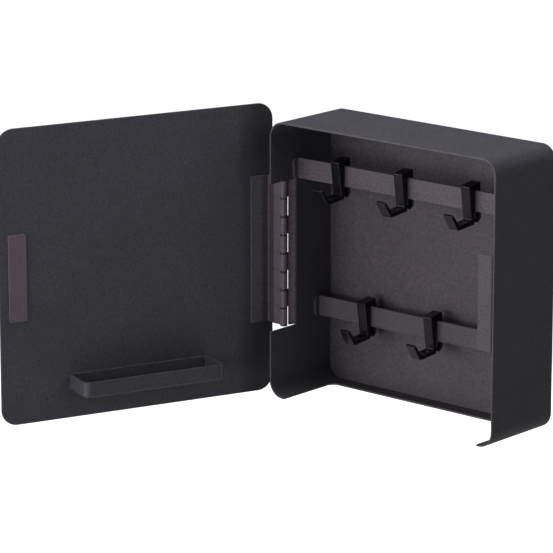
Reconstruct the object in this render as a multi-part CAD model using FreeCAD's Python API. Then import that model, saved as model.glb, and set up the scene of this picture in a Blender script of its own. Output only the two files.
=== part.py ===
import FreeCAD, Part
import math
import os

from FreeCAD import Rotation, Vector

# Key box: a bent sheet-steel case that three magnet sheets hold to an upright steel
# surface, with a piano-hinged door, two rails with clip-on key hooks, and a tray.
# Millimetres. The origin is the centre of the middle magnet sheet's rear face.
# +X is to the right for someone facing the box, +Y goes back into the surface that
# it hangs on, and +Z is up. The door is drawn shut and then turned to its rest angle.

# Case
SHEET = 1.2
CASE_WIDTH = 190.0
CASE_HEIGHT = 190.0
CASE_DEPTH = 63.0
CASE_CORNER = 11.0
EDGE_BREAK = 0.3
WELD_FIT = 0.1

# Opening in the case's floor, which leaves two side lips and a strip at the back
FLOOR_LIP = 12.8
FLOOR_STRIP = 12.4
FLOOR_CUT_CORNER = 5.5

# Rails, each a flat bar with its ends bent forward along the side walls
RAIL_SHEET = 1.6
RAIL_HEIGHT = 14.0
RAIL_BEND = 0.6
RAIL_FLANGE = 4.4
RAIL_FLANGE_CORNER = 3.4
UPPER_RAIL_SETBACK = 26.4
UPPER_RAIL_DROP = 29.0
LOWER_RAIL_SETBACK = 48.6
LOWER_RAIL_RISE = 47.4

# Door
DOOR_SHEET = 1.2
DOOR_WIDTH = 201.4
DOOR_HEIGHT = 200.0
DOOR_CORNER = 11.3
DOOR_LEFT_OVERHANG = 3.9
DOOR_RAISE = 1.2
DOOR_REST_ANGLE = 111.2

# Piano hinge, outside the left wall
LEAF_SHEET = 1.2
LEAF_BEND = 1.0
PIN_DIAMETER = 2.5
PIN_FIT = 0.05
KNUCKLES = 8
KNUCKLE_PITCH = 12.7
KNUCKLE_GAP = 0.5
KNUCKLE_RELIEF = 2.0
ROLL_GAP = 0.25
HINGE_SETBACK = 17.5
HINGE_RAISE = 0.9
CASE_LEAF_WIDTH = 22.0
DOOR_LEAF_WIDTH = 13.0
LEAF_CORNER = 1.0
LEAF_JOGGLE_ANGLE = 22.0
NOTCH_FIT = 0.0
NOTCH_DEPTH = 26.0

# Magnet on the door, and the steel bracket that it catches
DOOR_MAGNET_SHEET = 1.0
DOOR_MAGNET_WIDTH = 12.5
DOOR_MAGNET_HEIGHT = 58.6
DOOR_MAGNET_INSET = 6.5
DOOR_MAGNET_CORNER = 1.0
CATCH_GAP = 0.2
CATCH_WIDTH = 11.7
CATCH_DEPTH = 13.0
CATCH_HEIGHT = 63.3
CATCH_BEND = 1.0

# Tray on the door
TRAY_WALL = 1.1
TRAY_WIDTH = 102.0
TRAY_DEPTH = 26.0
TRAY_HEIGHT = 11.0
TRAY_RISE = 19.2
TRAY_OFF_MIDDLE = 0.7
TRAY_CORNER = 4.5
TRAY_FOOT_ROUND = 2.0
TRAY_BACK_ROUND = 1.5

# Clip hooks. Widths and heights of the side view, from the rail's faces
HOOK_WIDTH = 7.2
HOOK_FIT = 0.2
HOOK_TOP_FRONT = 3.3
HOOK_TOP_BACK = 5.2
PLATE_TOP_DEPTH = 6.7
PLATE_FOOT_DEPTH = 3.4
ARM_TOP = 5.6
ARM_FOOT = 8.6
VALLEY_REACH = 15.5
VALLEY_DROP = 6.7
TIP_REACH = 22.7
TIP_RISE = 1.8
TIP_THICKNESS = 2.1
ELBOW_REACH = 17.3
ELBOW_DROP = 10.0
LEG_THICKNESS = 3.6
SPRING_WALL = 1.7
SPRING_SPLAY = 1.0
SPRING_WAIST = 5.2
SPRING_DROP = 8.0
SPRING_MOUTH = 0.6
SPRING_LIP = 0.4
TOP_ROUND = 0.9
TIP_ROUND = 0.6
ARM_ROUND = 2.0
ELBOW_ROUND = 2.5
SPRING_ROUND = 0.9
HOOK_EDGE = 0.3
UPPER_HOOK_PLACES = (-55.2, -1.2, 54.7)
LOWER_HOOK_PLACES = (-50.3, 6.8)

# Magnet sheets on the back
REAR_MAGNET_SHEET = 1.0
REAR_MAGNET_WIDTH = 150.0
REAR_MAGNET_HEIGHT = 30.0
REAR_MAGNET_PITCH = 60.0
REAR_MAGNET_CORNER = 2.0

# Planes of the case
LEFT = -CASE_WIDTH / 2
RIGHT = CASE_WIDTH / 2
BOTTOM = -CASE_HEIGHT / 2
TOP = CASE_HEIGHT / 2
BACK = -REAR_MAGNET_SHEET
FRONT = BACK - CASE_DEPTH

# Planes of the shut door, which stands off the case by its magnet
DOOR_INNER = FRONT - CATCH_GAP - DOOR_MAGNET_SHEET
DOOR_LEFT = LEFT - DOOR_LEFT_OVERHANG
DOOR_RIGHT = DOOR_LEFT + DOOR_WIDTH
DOOR_BOTTOM = DOOR_RAISE - DOOR_HEIGHT / 2

# Hinge: the leaves lie in the plane of the left wall's outer face, and both slant out from
# that plane to the barrel's far side
BORE_RADIUS = PIN_DIAMETER / 2 + PIN_FIT
BARREL_RADIUS = BORE_RADIUS + LEAF_SHEET
HINGE_X = LEFT - BARREL_RADIUS
HINGE_Y = FRONT + HINGE_SETBACK
HINGE_LENGTH = KNUCKLES * KNUCKLE_PITCH
HINGE_BOTTOM = HINGE_RAISE - HINGE_LENGTH / 2
HINGE_TOP = HINGE_RAISE + HINGE_LENGTH / 2
RELIEF_RADIUS = BARREL_RADIUS + KNUCKLE_RELIEF

PAST = 5.0
NEAR = 1e-4


def box(x_range, y_range, z_range):
    size = [high - low for low, high in (x_range, y_range, z_range)]
    return Part.makeBox(*size, Vector(x_range[0], y_range[0], z_range[0]))


def runs_along(edge, direction):
    if not isinstance(edge.Curve, Part.Line):
        return False
    return abs(edge.tangentAt(edge.FirstParameter).dot(direction)) > 1 - NEAR


def rounded(shape, radius, pick):
    return shape.makeFillet(radius, [edge for edge in shape.Edges if pick(edge)])


def broken(shape, size, pick):
    """Takes the sharpness off the picked edges with a small flat."""
    return shape.makeChamfer(size, [edge for edge in shape.Edges if pick(edge)])


def turned(shape, degrees):
    """The shape turned about the hinge pin, the way in which the door opens."""
    copy = shape.copy()
    copy.rotate(Vector(HINGE_X, HINGE_Y, 0), Vector(0, 0, -1), degrees)
    return copy


def lies_in_plane(edge, axis, place):
    """Says whether the whole edge lies where the coordinate named by axis has this value."""
    bounds = edge.BoundBox
    low = getattr(bounds, axis + "Min")
    high = getattr(bounds, axis + "Max")
    return abs(low - place) < 1e-3 and abs(high - place) < 1e-3


def plate(x_range, y_range, z_range, corner):
    """A flat plate that faces the front, with its four corners rounded."""
    blank = box(x_range, y_range, z_range)
    return rounded(blank, corner, lambda edge: runs_along(edge, Vector(0, 1, 0)))


def outline_face(points, place):
    """A face with the given corners, each (u, v, radius). place turns u, v into a point."""
    count = len(points)
    ends = []
    for k in range(count):
        here = place(*points[k][:2])
        to_last = (place(*points[k - 1][:2]) - here).normalize()
        to_next = (place(*points[(k + 1) % count][:2]) - here).normalize()
        half_turn = to_last.getAngle(to_next) / 2
        radius = points[k][2]
        reach = radius / math.tan(half_turn)
        inward = (to_last + to_next).normalize()
        middle = here + inward * (radius / math.sin(half_turn) - radius)
        ends.append((here + to_last * reach, middle, here + to_next * reach))
    edges = []
    for k in range(count):
        start, middle, end = ends[k]
        if points[k][2] > 0:
            edges.append(Part.Arc(start, middle, end).toShape())
        edges.append(Part.LineSegment(end, ends[(k + 1) % count][0]).toShape())
    return Part.Face(Part.Wire(edges))


def upright_prism(points, low, high):
    """A profile seen from above, (x, y, radius) corners, carried up from low to high."""
    return outline_face(points, lambda x, y: Vector(x, y, low)).extrude(Vector(0, 0, high - low))


def case_shell():
    """The bent band: two side walls, the roof, and the floor with its opening."""
    outer = plate((LEFT, RIGHT), (FRONT, BACK), (BOTTOM, TOP), CASE_CORNER)
    inner = plate((LEFT + SHEET, RIGHT - SHEET), (FRONT - PAST, BACK + PAST),
                  (BOTTOM + SHEET, TOP - SHEET), CASE_CORNER - SHEET)
    floor_cut = box((LEFT + FLOOR_LIP, RIGHT - FLOOR_LIP), (FRONT - PAST, BACK - FLOOR_STRIP),
                    (BOTTOM - PAST, BOTTOM + SHEET + PAST))
    floor_cut = rounded(floor_cut, FLOOR_CUT_CORNER,
                        lambda edge: runs_along(edge, Vector(0, 0, 1))
                        and edge.BoundBox.YMin > FRONT)
    notch = box((LEFT - PAST, LEFT + SHEET + PAST), (FRONT - PAST, FRONT + NOTCH_DEPTH),
                (HINGE_BOTTOM - NOTCH_FIT, HINGE_TOP + NOTCH_FIT))
    shell = outer.cut([inner, floor_cut, notch])
    return broken(shell, EDGE_BREAK, lambda edge: lies_in_plane(edge, "Y", FRONT)
                  and edge.Length > 2 * SHEET)


def back_panel():
    """The flat panel set into the band, flush with its rear edge."""
    inset = SHEET + WELD_FIT
    return plate((LEFT + inset, RIGHT - inset), (BACK - SHEET, BACK),
                 (BOTTOM + inset, TOP - inset), CASE_CORNER - inset)


def rail(setback, low):
    """A bar across the case with both ends bent forward and welded to the side walls."""
    face = FRONT + setback
    rear = face + RAIL_SHEET
    tip = face - RAIL_FLANGE
    left = LEFT + SHEET
    right = RIGHT - SHEET
    outer_bend = RAIL_BEND + RAIL_SHEET
    bar = upright_prism([
        (left, tip, 0),
        (left + RAIL_SHEET, tip, 0),
        (left + RAIL_SHEET, face, RAIL_BEND),
        (right - RAIL_SHEET, face, RAIL_BEND),
        (right - RAIL_SHEET, tip, 0),
        (right, tip, 0),
        (right, rear, outer_bend),
        (left, rear, outer_bend),
    ], low, low + RAIL_HEIGHT)
    bar = rounded(bar, RAIL_FLANGE_CORNER, lambda edge: lies_in_plane(edge, "Y", tip)
                  and runs_along(edge, Vector(1, 0, 0)))
    return broken(bar, EDGE_BREAK, lambda edge: lies_in_plane(edge, "Y", face)
                  and runs_along(edge, Vector(1, 0, 0)))


def catch_bracket():
    """An angle on the right wall, whose front face the door's magnet meets."""
    right = RIGHT - SHEET
    left = right - CATCH_WIDTH
    return upright_prism([
        (left, FRONT, 0),
        (right, FRONT, CATCH_BEND + SHEET),
        (right, FRONT + CATCH_DEPTH, 0),
        (right - SHEET, FRONT + CATCH_DEPTH, 0),
        (right - SHEET, FRONT + SHEET, CATCH_BEND),
        (left, FRONT + SHEET, 0),
    ], DOOR_RAISE - CATCH_HEIGHT / 2, DOOR_RAISE + CATCH_HEIGHT / 2)


def rear_magnet(row):
    """One magnet sheet on the back panel; row 0 is at the case's middle height."""
    middle = row * REAR_MAGNET_PITCH
    return plate((-REAR_MAGNET_WIDTH / 2, REAR_MAGNET_WIDTH / 2), (BACK, BACK + REAR_MAGNET_SHEET),
                 (middle - REAR_MAGNET_HEIGHT / 2, middle + REAR_MAGNET_HEIGHT / 2),
                 REAR_MAGNET_CORNER)


def knuckle_spans(first):
    """The heights of every second knuckle, counted down from the top from number first."""
    spans = []
    for k in range(first, KNUCKLES, 2):
        high = HINGE_TOP - k * KNUCKLE_PITCH
        spans.append((high - KNUCKLE_PITCH + KNUCKLE_GAP / 2, high - KNUCKLE_GAP / 2))
    return spans


def rolled_knuckle(side, low, high):
    """The leaf's sheet rolled round the pin from a neck, which goes back where side is 1 and
    forward where it is -1.
    """
    end_angle = math.acos((BORE_RADIUS - ROLL_GAP) / BARREL_RADIUS)
    sweep = 2 * math.pi - end_angle

    def on_circle(radius, angle):
        return Vector(HINGE_X + radius * math.cos(angle), HINGE_Y - side * radius * math.sin(angle), low)

    start, middle, end = 0, sweep / 2, sweep
    edges = [
        Part.Arc(on_circle(BARREL_RADIUS, start), on_circle(BARREL_RADIUS, middle),
                 on_circle(BARREL_RADIUS, end)).toShape(),
        Part.LineSegment(on_circle(BARREL_RADIUS, end), on_circle(BORE_RADIUS, end)).toShape(),
        Part.Arc(on_circle(BORE_RADIUS, end), on_circle(BORE_RADIUS, middle),
                 on_circle(BORE_RADIUS, start)).toShape(),
        Part.LineSegment(on_circle(BORE_RADIUS, start), on_circle(BARREL_RADIUS, start)).toShape(),
    ]
    roll = Part.Face(Part.Wire(edges)).extrude(Vector(0, 0, high - low))
    reach = sorted((HINGE_Y, HINGE_Y + side * (RELIEF_RADIUS + LEAF_SHEET)))
    neck = box((LEFT - LEAF_SHEET, LEFT), reach, (low, high))
    return roll.fuse(neck)


def slanted_leaf(side, end, first):
    """A hinge leaf seen from above, with every second knuckle. side is 1 for the leaf that goes
    back from the pin and -1 for the one that goes forward; end is the rest of its outline.
    """
    slant = math.radians(LEAF_JOGGLE_ANGLE)
    along = Vector(math.sin(slant), side * math.cos(slant), 0)
    outward = Vector(-math.cos(slant), side * math.sin(slant), 0)
    relief = Vector(HINGE_X, HINGE_Y, 0) + along * RELIEF_RADIUS
    outer_end = relief + outward * BARREL_RADIUS
    inner_end = relief + outward * BORE_RADIUS
    outer_bend = HINGE_Y + side * (BARREL_RADIUS + BORE_RADIUS * math.cos(slant)) / math.sin(slant)
    inner_bend = HINGE_Y + side * (BORE_RADIUS + BARREL_RADIUS * math.cos(slant)) / math.sin(slant)
    leaf = upright_prism([
        (outer_end.x, outer_end.y, 0),
        (LEFT - LEAF_SHEET, outer_bend, LEAF_BEND),
        *end,
        (LEFT, inner_bend, LEAF_BEND + LEAF_SHEET),
        (inner_end.x, inner_end.y, 0),
    ], HINGE_BOTTOM, HINGE_TOP)
    turn = side * (180 + LEAF_JOGGLE_ANGLE)
    knuckles = [turned(rolled_knuckle(-side, low, high), turn) for low, high in knuckle_spans(first)]
    return leaf.fuse(knuckles).removeSplitter()


def hinge_case_leaf():
    """The fixed leaf, welded to the outside of the left wall behind the notch."""
    rear = HINGE_Y + CASE_LEAF_WIDTH
    leaf = slanted_leaf(1, [(LEFT - LEAF_SHEET, rear, 0), (LEFT, rear, 0)], 0)
    return rounded(leaf, LEAF_CORNER, lambda edge: runs_along(edge, Vector(1, 0, 0))
                   and lies_in_plane(edge, "Y", rear))


def hinge_door_leaf():
    """The moving leaf: forward along the left wall's plane, then bent on to the door's face."""
    right = LEFT + DOOR_LEAF_WIDTH
    return slanted_leaf(-1, [
        (LEFT - LEAF_SHEET, DOOR_INNER, LEAF_BEND + LEAF_SHEET),
        (right, DOOR_INNER, 0),
        (right, DOOR_INNER + LEAF_SHEET, 0),
        (LEFT, DOOR_INNER + LEAF_SHEET, LEAF_BEND),
    ], 1)


def hinge_pin():
    pin = Part.makeCylinder(PIN_DIAMETER / 2, HINGE_LENGTH, Vector(HINGE_X, HINGE_Y, HINGE_BOTTOM))
    return pin.makeChamfer(EDGE_BREAK, [edge for edge in pin.Edges if edge.Closed])


def door_panel():
    panel = plate((DOOR_LEFT, DOOR_RIGHT), (DOOR_INNER - DOOR_SHEET, DOOR_INNER),
                  (DOOR_BOTTOM, DOOR_BOTTOM + DOOR_HEIGHT), DOOR_CORNER)
    return broken(panel, EDGE_BREAK, lambda edge: lies_in_plane(edge, "Y", DOOR_INNER)
                  or lies_in_plane(edge, "Y", DOOR_INNER - DOOR_SHEET))


def door_magnet():
    right = DOOR_RIGHT - DOOR_MAGNET_INSET
    return plate((right - DOOR_MAGNET_WIDTH, right), (DOOR_INNER, DOOR_INNER + DOOR_MAGNET_SHEET),
                 (DOOR_RAISE - DOOR_MAGNET_HEIGHT / 2, DOOR_RAISE + DOOR_MAGNET_HEIGHT / 2),
                 DOOR_MAGNET_CORNER)


def door_tray():
    """An open pressed tray, its back wall on the door's inner face."""
    middle = (DOOR_LEFT + DOOR_RIGHT) / 2 + TRAY_OFF_MIDDLE
    low = DOOR_BOTTOM + TRAY_RISE
    free = DOOR_INNER + TRAY_DEPTH
    upright = Vector(0, 0, 1)
    outer = box((middle - TRAY_WIDTH / 2, middle + TRAY_WIDTH / 2), (DOOR_INNER, free),
                (low, low + TRAY_HEIGHT))
    outer = rounded(outer, TRAY_CORNER, lambda edge: runs_along(edge, upright)
                    and lies_in_plane(edge, "Y", free))
    outer = rounded(outer, TRAY_FOOT_ROUND, lambda edge: lies_in_plane(edge, "Z", low)
                    and not lies_in_plane(edge, "Y", DOOR_INNER))
    inner = box((middle - TRAY_WIDTH / 2 + TRAY_WALL, middle + TRAY_WIDTH / 2 - TRAY_WALL),
                (DOOR_INNER + TRAY_WALL, free - TRAY_WALL), (low + TRAY_WALL, low + TRAY_HEIGHT + PAST))
    inner = rounded(inner, TRAY_CORNER - TRAY_WALL, lambda edge: runs_along(edge, upright)
                    and lies_in_plane(edge, "Y", free - TRAY_WALL))
    inner = rounded(inner, TRAY_BACK_ROUND, lambda edge: runs_along(edge, upright)
                    and lies_in_plane(edge, "Y", DOOR_INNER + TRAY_WALL))
    inner = rounded(inner, TRAY_FOOT_ROUND - TRAY_WALL,
                    lambda edge: lies_in_plane(edge, "Z", low + TRAY_WALL))
    tray = outer.cut(inner)
    return broken(tray, EDGE_BREAK, lambda edge: lies_in_plane(edge, "Z", low + TRAY_HEIGHT)
                  and not lies_in_plane(edge, "Y", DOOR_INNER))


def hook(setback, low, middle):
    """A moulded clip: a face plate, a bridge over the rail, a leg behind it that ends in a
    springy curl under the rail, and an arm that rises to a tip in front.
    """
    leg_face = RAIL_SHEET + HOOK_FIT
    leg_back = leg_face + LEG_THICKNESS
    slot_top = RAIL_HEIGHT + HOOK_FIT
    spring_back = leg_back + SPRING_SPLAY
    tip_lean = math.atan2(TIP_REACH - VALLEY_REACH, VALLEY_DROP + TIP_RISE)
    side_view = [
        (-PLATE_TOP_DEPTH, RAIL_HEIGHT + HOOK_TOP_FRONT, TOP_ROUND),
        (-PLATE_FOOT_DEPTH, -ARM_TOP, TOP_ROUND),
        (-VALLEY_REACH, -VALLEY_DROP, ARM_ROUND),
        (-TIP_REACH, TIP_RISE, TIP_ROUND),
        (-TIP_REACH - TIP_THICKNESS * math.cos(tip_lean), TIP_RISE - TIP_THICKNESS * math.sin(tip_lean), TIP_ROUND),
        (-ELBOW_REACH, -ELBOW_DROP, ELBOW_ROUND),
        (-HOOK_FIT, -ARM_FOOT, 0),
        (-HOOK_FIT, slot_top, 0),
        (leg_face, slot_top, 0),
        (leg_face, -HOOK_FIT - SPRING_LIP, 0),
        (spring_back - SPRING_WALL - SPRING_LIP, -HOOK_FIT - SPRING_WALL, 0),
        (spring_back - SPRING_WALL, -SPRING_WAIST, SPRING_ROUND),
        (leg_face + SPRING_WALL, -SPRING_DROP + SPRING_WALL, SPRING_ROUND),
        (-HOOK_FIT + SPRING_MOUTH, -SPRING_DROP + 1.5 * SPRING_WALL, 0),
        (-HOOK_FIT + SPRING_MOUTH, -SPRING_DROP + 0.5 * SPRING_WALL, 0),
        (leg_face + SPRING_WALL, -SPRING_DROP, SPRING_ROUND + 0.5 * SPRING_WALL),
        (spring_back, -SPRING_WAIST, SPRING_ROUND + 0.5 * SPRING_WALL),
        (leg_back, RAIL_HEIGHT + HOOK_TOP_BACK, TOP_ROUND),
    ]
    left = middle - HOOK_WIDTH / 2
    face = outline_face(side_view, lambda y, z: Vector(left, FRONT + setback + y, low + z))
    body = face.extrude(Vector(HOOK_WIDTH, 0, 0))
    return broken(body, HOOK_EDGE, lambda edge: lies_in_plane(edge, "X", left)
                  or lies_in_plane(edge, "X", left + HOOK_WIDTH))


def opened(shape):
    """Turns a piece of the shut door about the hinge pin to the angle at rest."""
    return turned(shape, DOOR_REST_ANGLE)


def all_parts():
    upper_low = TOP - UPPER_RAIL_DROP - RAIL_HEIGHT
    lower_low = BOTTOM + LOWER_RAIL_RISE
    parts = {
        "case_shell": case_shell(),
        "back_panel": back_panel(),
        "upper_rail": rail(UPPER_RAIL_SETBACK, upper_low),
        "lower_rail": rail(LOWER_RAIL_SETBACK, lower_low),
        "catch_bracket": catch_bracket(),
        "rear_magnet_top": rear_magnet(1),
        "rear_magnet_middle": rear_magnet(0),
        "rear_magnet_bottom": rear_magnet(-1),
        "hinge_case_leaf": hinge_case_leaf(),
        "hinge_pin": hinge_pin(),
        "hinge_door_leaf": opened(hinge_door_leaf()),
        "door_panel": opened(door_panel()),
        "door_magnet": opened(door_magnet()),
        "door_tray": opened(door_tray()),
    }
    for number, middle in enumerate(UPPER_HOOK_PLACES, 1):
        parts[f"upper_hook_{number}"] = hook(UPPER_RAIL_SETBACK, upper_low, middle)
    for number, middle in enumerate(LOWER_HOOK_PLACES, 1):
        parts[f"lower_hook_{number}"] = hook(LOWER_RAIL_SETBACK, lower_low, middle)
    return parts


os.makedirs("parts", exist_ok=True)
for name, shape in all_parts().items():
    print(name, len(shape.Solids), shape.isValid(), round(shape.Volume, 1))
    shape.exportStep(f"parts/{name}.step")
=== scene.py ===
import math

import bpy
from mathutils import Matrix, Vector


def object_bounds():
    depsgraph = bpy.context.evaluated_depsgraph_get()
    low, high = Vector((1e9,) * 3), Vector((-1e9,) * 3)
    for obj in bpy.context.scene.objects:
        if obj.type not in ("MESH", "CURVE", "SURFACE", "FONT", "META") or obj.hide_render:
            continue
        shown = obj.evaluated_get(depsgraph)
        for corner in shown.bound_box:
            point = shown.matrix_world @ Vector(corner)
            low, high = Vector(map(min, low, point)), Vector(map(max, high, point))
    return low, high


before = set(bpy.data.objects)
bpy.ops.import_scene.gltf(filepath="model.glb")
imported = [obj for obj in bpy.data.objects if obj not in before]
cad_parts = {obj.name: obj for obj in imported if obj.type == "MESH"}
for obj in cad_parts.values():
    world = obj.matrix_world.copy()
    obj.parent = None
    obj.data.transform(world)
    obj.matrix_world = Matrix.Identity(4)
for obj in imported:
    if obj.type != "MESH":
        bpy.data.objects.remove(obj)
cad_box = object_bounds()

# Key box in coated sheet steel, seen from its front right. Metres, in the frame's axes:
# +X to the right of someone facing the box, +Y back into its wall, +Z up.

# Camera: where it looks, how far away it is, and its direction round and above the box
AIM = Vector((-0.0457, -0.1131, 0.0059))
VIEW_DISTANCE = 2.3424
VIEW_TURN = math.radians(41.21)
VIEW_RISE = math.radians(14.197)
LENS = 234.4
SENSOR = 36.0

FLOOR_DROP = 0.62
FLOOR_SIZE = 60.0

# Coat colours, linear
OUTER_COAT = (0.0635, 0.0610, 0.0765)
# The door's coat is the outer coat made about 1.09 times lighter: painted light.
DOOR_COAT = (0.0690, 0.0663, 0.0828)
INNER_COAT = (0.0690, 0.0550, 0.0704)
MAGNET = (0.152, 0.113, 0.148)
PLASTIC = (0.008, 0.0075, 0.009)
BARE_STEEL = (0.20, 0.19, 0.20)

# The door's hinge pin, about which the door's inner face carries a painted shade and the leaves' barrel a
# painted highlight
PIN = (-0.0975, -0.0465, 0.0)
HINGE_TOP = 0.0517
NEAR_HINGE_PAINTED_SHADE = 0.57
DOOR_INWARD = (0.932, -0.362, 0.0)
KNUCKLE_PITCH = 0.0127
# Painted highlight on the hinge barrel: its coat is 1.7 times as bright.
BARREL_PAINTED_HIGHLIGHT = 1.7


class Nodes:
    """Short calls for building a material's node tree."""

    def __init__(self, name):
        self.material = bpy.data.materials.new(name)
        self.material.use_nodes = True
        self.tree = self.material.node_tree
        self.shader = self.tree.nodes["Principled BSDF"]

    def add(self, kind, **settings):
        node = self.tree.nodes.new(kind)
        for key, value in settings.items():
            setattr(node, key, value)
        return node

    def link(self, source, target):
        self.tree.links.new(source, target)

    def object_coordinates(self):
        return self.add("ShaderNodeTexCoord").outputs["Object"]

    def noise(self, coordinates, scale, detail=2.0, roughness=0.5):
        node = self.add("ShaderNodeTexNoise")
        node.inputs["Scale"].default_value = scale
        node.inputs["Detail"].default_value = detail
        node.inputs["Roughness"].default_value = roughness
        self.link(coordinates, node.inputs["Vector"])
        return node.outputs["Fac"]

    def math(self, operation, first, second=None):
        node = self.add("ShaderNodeMath", operation=operation)
        for k, value in enumerate((first, second)):
            if value is None:
                continue
            if isinstance(value, (int, float)):
                node.inputs[k].default_value = value
            else:
                self.link(value, node.inputs[k])
        return node.outputs[0]

    def spread(self, value, low, high, from_low=0.3, from_high=0.7):
        node = self.add("ShaderNodeMapRange")
        node.inputs["From Min"].default_value = from_low
        node.inputs["From Max"].default_value = from_high
        node.inputs["To Min"].default_value = low
        node.inputs["To Max"].default_value = high
        self.link(value, node.inputs["Value"])
        return node.outputs["Result"]

    def scaled_colour(self, colour, factor):
        """The colour multiplied by a varying factor."""
        node = self.add("ShaderNodeVectorMath", operation="SCALE")
        node.inputs[0].default_value = colour
        self.link(factor, node.inputs["Scale"])
        return node.outputs[0]

    def bump(self, height, strength, distance, normal=None):
        node = self.add("ShaderNodeBump")
        node.inputs["Strength"].default_value = strength
        node.inputs["Distance"].default_value = distance
        self.link(height, node.inputs["Height"])
        if normal is not None:
            self.link(normal, node.inputs["Normal"])
        return node.outputs["Normal"]

    def rounded_normal(self, radius):
        node = self.add("ShaderNodeBevel", samples=6)
        node.inputs["Radius"].default_value = radius
        return node.outputs["Normal"]

    def edge_mask(self, radius):
        """1 on the flats, less within the radius of a sharp edge."""
        node = self.add("ShaderNodeVectorMath", operation="DOT_PRODUCT")
        self.link(self.rounded_normal(radius), node.inputs[0])
        self.link(self.add("ShaderNodeNewGeometry").outputs["Normal"], node.inputs[1])
        return node.outputs["Value"]


def textured_coat(name, colour, roughness=0.55, grain=0.30, bump=0.5, edge=1.35):
    """Powder coat: an orange peel in colour and height, faint clouds, a painted shade darker towards the
    bottom, and sharp edges scaled by the edge factor, a painted highlight above 1 and a painted shade below 1.
    """
    m = Nodes(name)
    place = m.object_coordinates()
    fine = m.noise(place, 640.0, 3.0, 0.6)
    clouds = m.noise(place, 22.0, 2.0)
    tone = m.math("MULTIPLY", m.spread(fine, 1 - grain, 1 + grain), m.spread(clouds, 0.94, 1.06))
    height = m.add("ShaderNodeSeparateXYZ")
    m.link(place, height.inputs[0])
    # Painted light and shade: the coat goes from 0.88 times as bright at z = -0.09 m to 1.08 times at z =
    # +0.09 m.
    tone = m.math("MULTIPLY", tone, m.spread(height.outputs["Z"], 0.88, 1.08, -0.09, 0.09))
    # Painted highlight on sharp edges, a painted shade where the edge factor is below 1.
    tone = m.math("MULTIPLY", tone, m.spread(m.edge_mask(0.0006), edge, 1.0, 0.88, 0.995))
    m.tone = tone
    m.link(m.scaled_colour(colour, tone), m.shader.inputs["Base Color"])
    m.link(m.spread(fine, roughness - 0.06, roughness + 0.06), m.shader.inputs["Roughness"])
    m.link(m.bump(fine, bump, 0.00015), m.shader.inputs["Normal"])
    return m


def pin_distance(m):
    """How far a point lies from the hinge pin's axis."""
    apart = m.add("ShaderNodeVectorMath", operation="SUBTRACT")
    m.link(m.object_coordinates(), apart.inputs[0])
    apart.inputs[1].default_value = PIN
    flat = m.add("ShaderNodeVectorMath", operation="MULTIPLY")
    m.link(apart.outputs[0], flat.inputs[0])
    flat.inputs[1].default_value = (1, 1, 0)
    length = m.add("ShaderNodeVectorMath", operation="LENGTH")
    m.link(flat.outputs[0], length.inputs[0])
    return length.outputs["Value"]


def door_coat(name):
    """The door's coat, with a painted shade darker toward the hinge on the inner face."""
    m = textured_coat(name, DOOR_COAT)
    facing = m.add("ShaderNodeVectorMath", operation="DOT_PRODUCT")
    m.link(m.add("ShaderNodeTexCoord").outputs["Normal"], facing.inputs[0])
    facing.inputs[1].default_value = DOOR_INWARD
    # Painted shade on the inner face: the coat falls to 0.43 of its tone within 20.5 mm of the pin, fading out
    # by 31.5 mm.
    hinge_painted_shade = m.spread(pin_distance(m), NEAR_HINGE_PAINTED_SHADE, 0.0, 0.0205, 0.0315)
    hinge_painted_shade = m.math("MULTIPLY", hinge_painted_shade, m.spread(facing.outputs["Value"], 0.0, 1.0, 0.3, 0.7))
    tone = m.math("MULTIPLY", m.tone, m.math("SUBTRACT", 1.0, hinge_painted_shade))
    m.link(m.scaled_colour(DOOR_COAT, tone), m.shader.inputs["Base Color"])
    return m


def leaf_coat(name, slant_painted_light):
    """A hinge leaf's coat: as outside on the flat but lighter, as inside by the pin, with a painted highlight
    on the barrel, a painted shade beside it, painted light on the slanted part and a painted shade beyond it.
    """
    # The leaf's sharp edges are 1.7 times paler: a painted highlight.
    m = textured_coat(name, OUTER_COAT, edge=1.7)
    far = pin_distance(m)
    height = m.add("ShaderNodeSeparateXYZ")
    m.link(m.object_coordinates(), height.inputs[0])
    from_joint = m.math("PINGPONG", m.math("SUBTRACT", height.outputs["Z"], HINGE_TOP), KNUCKLE_PITCH / 2)
    joint = m.spread(from_joint, 0.15, 1.0, 0.0004, 0.0010)
    # Painted highlight on the barrel and painted shade in the crevice just outside it; the knuckles' joints
    # stay dark.
    barrel = m.math("MULTIPLY", m.spread(far, BARREL_PAINTED_HIGHLIGHT, 0.30, 0.00255, 0.0028), joint)
    # Painted light on the slanted part of the leaf beside the barrel.
    by_pin = m.math("ADD", barrel, m.spread(far, 0.0, slant_painted_light - 0.30, 0.0040, 0.0046))
    # Painted shade on the leaf beyond 10.6 mm from the pin, at 0.78 of the inner coat.
    by_pin = m.math("MULTIPLY", by_pin, m.spread(far, 1.0, 0.78 / slant_painted_light, 0.0100, 0.0106))
    near = m.scaled_colour(INNER_COAT, m.math("MULTIPLY", m.tone, by_pin))
    mix = m.add("ShaderNodeMix", data_type="VECTOR")
    m.link(m.spread(far, 0.0, 1.0, 0.0185, 0.0195), mix.inputs["Factor"])
    m.link(near, mix.inputs[4])
    # The flat leaf: the outer coat made 1.35 times lighter, painted light.
    m.link(m.scaled_colour([1.35 * part for part in OUTER_COAT], m.tone), mix.inputs[5])
    m.link(mix.outputs[1], m.shader.inputs["Base Color"])
    return m


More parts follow.
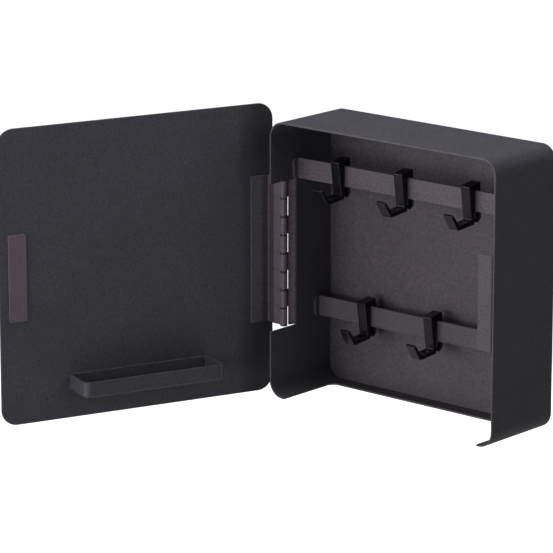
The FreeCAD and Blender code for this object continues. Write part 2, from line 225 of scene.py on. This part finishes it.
def smooth_plastic(name):
    m = Nodes(name)
    place = m.object_coordinates()
    fine = m.noise(place, 300.0, 2.0)
    # Painted highlight: the hooks' sharp edges are up to 14 times paler.
    tone = m.math("MULTIPLY", m.spread(fine, 0.85, 1.15), m.spread(m.edge_mask(0.0005), 14.0, 1.0, 0.85, 0.99))
    m.link(m.scaled_colour(PLASTIC, tone), m.shader.inputs["Base Color"])
    m.link(m.spread(fine, 0.14, 0.22), m.shader.inputs["Roughness"])
    m.shader.inputs["Specular IOR Level"].default_value = 0.3
    m.shader.inputs["Specular Tint"].default_value = (0.95, 0.86, 1.0, 1)
    m.link(m.bump(fine, 0.04, 0.00005, m.rounded_normal(0.0007)), m.shader.inputs["Normal"])
    return m


def worn_steel(name):
    m = Nodes(name)
    place = m.object_coordinates()
    fine = m.noise(place, 900.0, 3.0)
    m.shader.inputs["Metallic"].default_value = 1.0
    m.link(m.scaled_colour(BARE_STEEL, m.spread(fine, 0.8, 1.2)), m.shader.inputs["Base Color"])
    m.link(m.spread(fine, 0.3, 0.45), m.shader.inputs["Roughness"])
    return m


def dress(material, *nodes):
    for name in nodes:
        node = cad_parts[name]
        node.data.materials.clear()
        node.data.materials.append(material)


def dress_object():
    outer = textured_coat("outer_coat", OUTER_COAT).material
    # The tray's sharp edges are darkened to 0.45: a painted shade.
    tray = textured_coat("tray_coat", OUTER_COAT, edge=0.45).material
    door = door_coat("door_coat").material
    # Each leaf's number is the painted light on its slanted part.
    door_leaf = leaf_coat("door_leaf_coat", 1.35).material
    case_leaf = leaf_coat("case_leaf_coat", 3.9).material
    inner = textured_coat("inner_coat", INNER_COAT, grain=0.42).material
    # The upper rail's coat is the inner coat made 1.28 times lighter than the lower rail's: painted light.
    rail = textured_coat("rail_coat", [1.28 * part for part in INNER_COAT], grain=0.42).material
    low_rail = textured_coat("low_rail_coat", INNER_COAT, grain=0.36).material
    # The magnets' sharp edges are 1.8 times paler: a painted highlight.
    magnet = textured_coat("magnet_sheet", MAGNET, roughness=0.7, grain=0.12, bump=0.15, edge=1.8).material
    plastic = smooth_plastic("hook_plastic").material
    steel = worn_steel("pin_steel").material
    dress(outer, "case_shell")
    dress(tray, "door_tray")
    dress(door, "door_panel")
    dress(door_leaf, "hinge_door_leaf")
    dress(case_leaf, "hinge_case_leaf")
    dress(inner, "back_panel", "catch_bracket")
    dress(rail, "upper_rail")
    dress(low_rail, "lower_rail")
    dress(magnet, "rear_magnet_top", "rear_magnet_middle", "rear_magnet_bottom", "door_magnet")
    dress(steel, "hinge_pin")
    dress(plastic, *[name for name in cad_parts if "_hook_" in name])


def softbox(name, turn, rise, distance, size, power):
    """An area lamp that faces the object, at so many degrees right of its front and above it."""
    lamp = bpy.data.lights.new(name, "AREA")
    lamp.shape = "RECTANGLE"
    lamp.size, lamp.size_y = size
    lamp.energy = power
    turn, rise = math.radians(turn), math.radians(rise)
    away = Vector((math.sin(turn) * math.cos(rise), -math.cos(turn) * math.cos(rise), math.sin(rise)))
    holder = bpy.data.objects.new(name, lamp)
    holder.location = AIM + away * distance
    holder.rotation_mode = "QUATERNION"
    holder.rotation_quaternion = away.to_track_quat("Z", "Y")
    bpy.context.scene.collection.objects.link(holder)


def light_studio():
    softbox("front_box", 0, 0, 2.4, (1.2, 0.8), 15.0)
    softbox("high_box", 0, 30, 2.4, (1.2, 0.8), 6.0)
    softbox("left_box", -42, 8, 2.4, (2.6, 1.1), 36.0)
    softbox("top_box", -90, 84, 2.2, (1.4, 1.4), 40.0)
    softbox("right_box", 95, 22, 2.4, (1.2, 1.4), 8.0)
    softbox("rear_box", 195, -10, 2.4, (1.4, 0.8), 16.0)
    world = bpy.data.worlds.new("studio")
    bpy.context.scene.world = world
    world.use_nodes = True
    tree = world.node_tree
    background = tree.nodes["Background"]
    path = tree.nodes.new("ShaderNodeLightPath")
    seen = tree.nodes.new("ShaderNodeMath")
    seen.operation = "MAXIMUM"
    tree.links.new(path.outputs["Is Camera Ray"], seen.inputs[0])
    tree.links.new(path.outputs["Is Transmission Ray"], seen.inputs[1])
    strength = tree.nodes.new("ShaderNodeMapRange")
    strength.inputs["To Min"].default_value = 0.02
    strength.inputs["To Max"].default_value = 1.0
    tree.links.new(seen.outputs[0], strength.inputs["Value"])
    tree.links.new(strength.outputs["Result"], background.inputs["Strength"])
    background.inputs["Color"].default_value = (1, 1, 1, 1)


def lay_floor():
    """A pale floor well below the hanging box, so that the box's shadow is soft."""
    half = FLOOR_SIZE / 2
    height = cad_box[0][2] - FLOOR_DROP
    mesh = bpy.data.meshes.new("floor")
    corners = [(-half, -half, height), (half, -half, height), (half, half, height), (-half, half, height)]
    mesh.from_pydata(corners, [], [(0, 1, 2, 3)])
    floor = bpy.data.objects.new("floor", mesh)
    bpy.context.scene.collection.objects.link(floor)
    m = Nodes("floor_white")
    m.shader.inputs["Base Color"].default_value = (0.5, 0.5, 0.5, 1)
    m.shader.inputs["Roughness"].default_value = 0.9
    m.shader.inputs["Specular IOR Level"].default_value = 0.0
    path = m.add("ShaderNodeLightPath")
    m.shader.inputs["Emission Color"].default_value = (1, 1, 1, 1)
    m.link(m.math("MULTIPLY", path.outputs["Is Camera Ray"], 1.0), m.shader.inputs["Emission Strength"])
    mesh.materials.append(m.material)


def place_camera():
    data = bpy.data.cameras.new("camera")
    data.lens = LENS
    data.sensor_width = SENSOR
    data.clip_start = 0.1
    data.clip_end = 200.0
    camera = bpy.data.objects.new("camera", data)
    back = Vector((math.sin(VIEW_TURN) * math.cos(VIEW_RISE),
                   -math.cos(VIEW_TURN) * math.cos(VIEW_RISE), math.sin(VIEW_RISE)))
    camera.location = AIM + back * VIEW_DISTANCE
    camera.rotation_euler = (-back).to_track_quat("-Z", "Y").to_euler()
    bpy.context.scene.collection.objects.link(camera)
    bpy.context.scene.camera = camera


dress_object()
light_studio()
lay_floor()
place_camera()
bpy.context.scene.view_settings.view_transform = "Standard"
